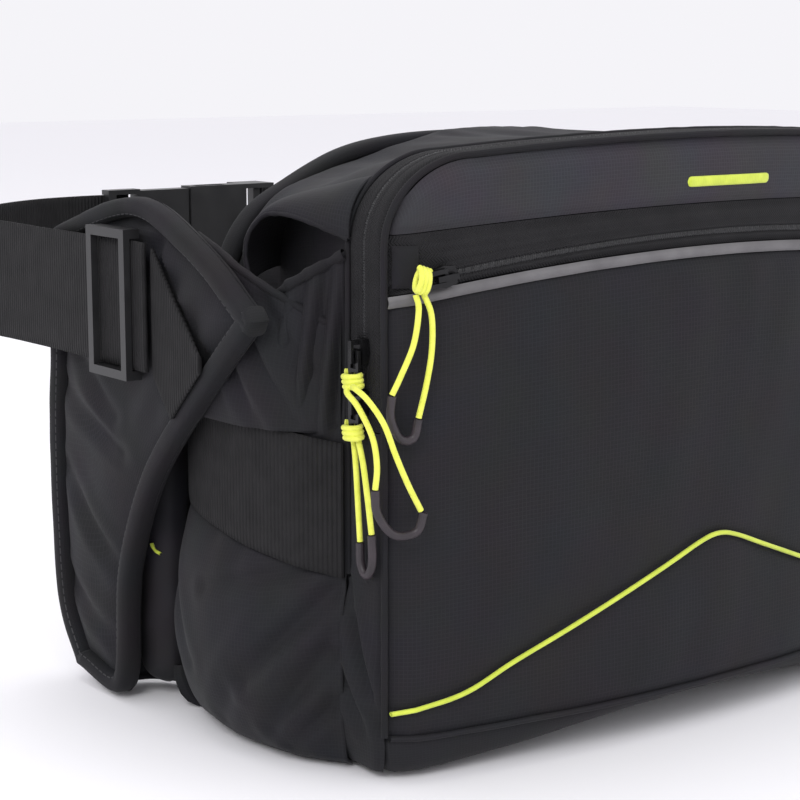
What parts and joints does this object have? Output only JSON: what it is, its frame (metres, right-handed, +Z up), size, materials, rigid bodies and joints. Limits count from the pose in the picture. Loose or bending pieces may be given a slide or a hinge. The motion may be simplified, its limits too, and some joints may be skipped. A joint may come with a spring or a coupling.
{
  "type": "waist pack",
  "caption": "Zipped waist pack with a front pocket, open side pockets, padded hip wings and a buckled webbing belt.",
  "frame": {"origin": "on the flat underside of the base, at the middle of the pack's width", "axes": "+Z up, the front panel towards -Y, the belt and buckle towards +Y, +X to the right seen from the front"},
  "size_m": [0.3716, 0.3688, 0.2348],
  "materials": {
    "shell_fabric": "fine ripstop nylon, coated inside, soft sheen",
    "lining_fabric": "plain woven lining",
    "base_fabric": "heavier plain weave",
    "binding_tape": "folded binding tape with a stitch line",
    "panel_fabric": "finer ripstop, a shade lighter",
    "reflective": "grey reflective tape",
    "zip_tape": "reversed coil zip tape, herringbone",
    "zip_coil": "black polyester coil",
    "lime_piping": "thin lime piping",
    "stiffener_sheet": "polyethylene sheet",
    "foam": "closed-cell foam",
    "spacer_mesh": "three-dimensional air mesh",
    "webbing": "heavy ribbed polyester webbing",
    "buckle_plastic": "black moulded acetal, satin",
    "slider_metal": "black lacquered zinc, glossy",
    "lime_cord": "smooth braided lime cord",
    "cord_end_rubber": "soft dark rubber loop"
  },
  "bodies": {
    "pack": {"front_panel": "shell_fabric", "zip_garage_left": "shell_fabric", "zip_garage_right": "shell_fabric", "main_gusset": "shell_fabric", "side_pocket_left": "shell_fabric", "side_pocket_right": "shell_fabric", "pocket_zip_end_left": "shell_fabric", "pocket_zip_end_right": "shell_fabric", "wing_face_left": "shell_fabric", "wing_face_right": "shell_fabric", "back_roll_left": "shell_fabric", "back_roll_right": "shell_fabric", "divider_wall": "lining_fabric", "back_wall": "lining_fabric", "base_panel": "base_fabric", "back_binding": "binding_tape", "wing_binding_left": "binding_tape", "wing_binding_right": "binding_tape", "top_front_panel": "panel_fabric", "reflective_strip": "reflective", "pocket_zip_tape": "zip_tape", "main_zip_tape": "zip_tape", "pocket_zip_coil": "zip_coil", "main_zip_coil": "zip_coil", "lime_piping": "lime_piping", "back_stiffener": "stiffener_sheet", "back_foam": "foam", "wing_foam_left": "foam", "wing_foam_right": "foam", "back_pad_left": "spacer_mesh", "back_pad_right": "spacer_mesh", "wing_lining_left": "spacer_mesh", "wing_lining_right": "spacer_mesh", "side_webbing_left": "webbing", "side_webbing_right": "webbing", "wing_webbing_left": "webbing", "wing_webbing_right": "webbing", "belt_webbing_left": "webbing", "belt_webbing_right": "webbing", "buckle_plug": "buckle_plastic"},
    "pocket_slider": {"pocket_slider": "slider_metal"},
    "pocket_pull": {"pocket_pull": "slider_metal", "pocket_cord_a": "lime_cord", "pocket_cord_b": "lime_cord", "pocket_cord_loop": "cord_end_rubber"},
    "upper_slider": {"main_upper_slider": "slider_metal"},
    "upper_pull": {"main_upper_pull": "slider_metal", "upper_cord_a": "lime_cord", "upper_cord_b": "lime_cord", "upper_cord_loop": "cord_end_rubber"},
    "lower_slider": {"main_lower_slider": "slider_metal"},
    "lower_pull": {"main_lower_pull": "slider_metal", "lower_cord_a": "lime_cord", "lower_cord_b": "lime_cord", "lower_cord_loop": "cord_end_rubber"},
    "socket": {"buckle_socket": "buckle_plastic"},
    "prong_upper": {"buckle_prong_upper": "buckle_plastic"},
    "prong_lower": {"buckle_prong_lower": "buckle_plastic"},
    "adjuster_left": {"adjuster_left": "buckle_plastic"},
    "adjuster_right": {"adjuster_right": "buckle_plastic"}
  },
  "joints": [
    {"name": "pocket_zip", "type": "hinge", "parent": "pack", "child": "pocket_slider", "pos_m": [0, 0.29648, -0.09436], "axis": [0, 0.6, 0.8], "range_deg": [0, 30.5]},
    {"name": "pocket_pull_swing", "type": "hinge", "parent": "pocket_slider", "child": "pocket_pull", "pos_m": [-0.12882, -0.08287, 0.18688], "axis": [-0.1496, 0.0316, 0.9882], "range_deg": [0, 150]},
    {"name": "upper_zip", "type": "slide", "parent": "pack", "child": "upper_slider", "axis": [0, 0, 1], "range_m": [0, 0.034]},
    {"name": "upper_pull_swing", "type": "hinge", "parent": "upper_slider", "child": "upper_pull", "pos_m": [-0.15235, -0.06, 0.16], "axis": [0, 1, 0], "range_deg": [0, 150]},
    {"name": "lower_zip", "type": "slide", "parent": "pack", "child": "lower_slider", "axis": [0, 0, 1], "range_m": [-0.005, 0]},
    {"name": "lower_pull_swing", "type": "hinge", "parent": "lower_slider", "child": "lower_pull", "pos_m": [-0.15235, -0.06, 0.1415], "axis": [0, 1, 0], "range_deg": [0, 105]},
    {"name": "buckle_release", "type": "slide", "parent": "pack", "child": "socket", "axis": [1, 0, 0], "range_m": [0, 0.03]},
    {"name": "prong_upper_squeeze", "type": "hinge", "parent": "pack", "child": "prong_upper", "pos_m": [-0.0279, 0.2616, 0.1795], "axis": [0, 1, 0], "range_deg": [0, 8], "stiffness_Nm_per_rad": 0.3},
    {"name": "prong_lower_squeeze", "type": "hinge", "parent": "pack", "child": "prong_lower", "pos_m": [-0.0279, 0.2616, 0.1565], "axis": [0, 1, 0], "range_deg": [-8, 0], "stiffness_Nm_per_rad": 0.3},
    {"name": "adjuster_left_slide", "type": "slide", "parent": "pack", "child": "adjuster_left", "axis": [0, 1, 0], "range_m": [0, 0.01]},
    {"name": "adjuster_right_slide", "type": "slide", "parent": "pack", "child": "adjuster_right", "axis": [0, 1, 0], "range_m": [0, 0.01]}
  ],
  "couplings": [
    {"joint": "prong_lower_squeeze", "follows": "prong_upper_squeeze", "ratio": -1}
  ]
}
